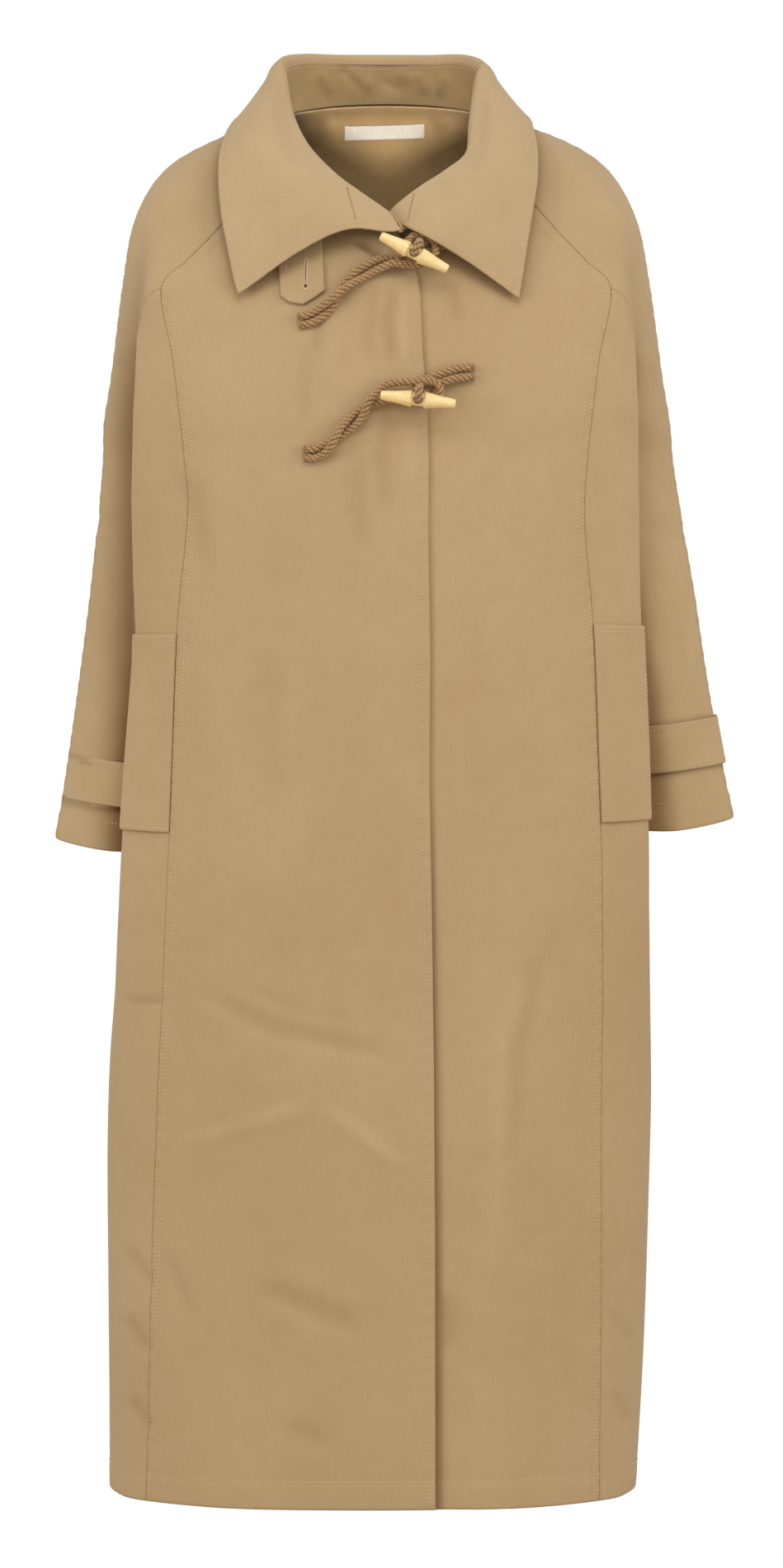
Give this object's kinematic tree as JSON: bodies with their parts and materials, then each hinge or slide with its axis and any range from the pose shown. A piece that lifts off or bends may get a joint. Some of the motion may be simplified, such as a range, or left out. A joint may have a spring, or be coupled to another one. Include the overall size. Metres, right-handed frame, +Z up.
{
  "type": "trench coat",
  "caption": "Long raglan coat, filled out as if worn, with wooden toggles in rope loops, a wide collar and cuff straps.",
  "frame": {"origin": "middle of the neck at shoulder height, where the wearer's shoulders hold the coat", "axes": "+X to the viewer's right, which is the wearer's left, +Y from the front to the back, +Z up"},
  "size_m": [0.5696, 0.3472, 1.2106],
  "materials": {
    "coat_cloth": "fawn cotton twill, matt",
    "collar_cloth": "fawn cotton twill, matt",
    "inside_cloth": "same cloth, inner side",
    "label_cloth": "woven tape, bare",
    "button_plastic": "dark brown",
    "toggle_wood": "pale turned wood, varnished",
    "twisted_rope": "brown twisted cord"
  },
  "bodies": {
    "root": {"back": "coat_cloth", "collar_fall": "collar_cloth", "collar_stand": "inside_cloth", "cuff_button_left": "button_plastic", "cuff_button_right": "button_plastic", "cuff_strap_left": "coat_cloth", "cuff_strap_right": "coat_cloth", "front_left": "coat_cloth", "front_right": "coat_cloth", "label": "label_cloth", "pocket_welt_left": "coat_cloth", "pocket_welt_right": "coat_cloth", "rope_loop_lower": "twisted_rope", "rope_loop_upper": "twisted_rope", "side_left": "coat_cloth", "side_right": "coat_cloth", "sleeve_back_left": "coat_cloth", "sleeve_back_right": "coat_cloth", "sleeve_front_left": "coat_cloth", "sleeve_front_right": "coat_cloth", "throat_tab": "coat_cloth", "toggle_cord_lower": "twisted_rope", "toggle_cord_upper": "twisted_rope", "toggle_lower": "toggle_wood", "toggle_upper": "toggle_wood"}
  },
  "joints": []
}
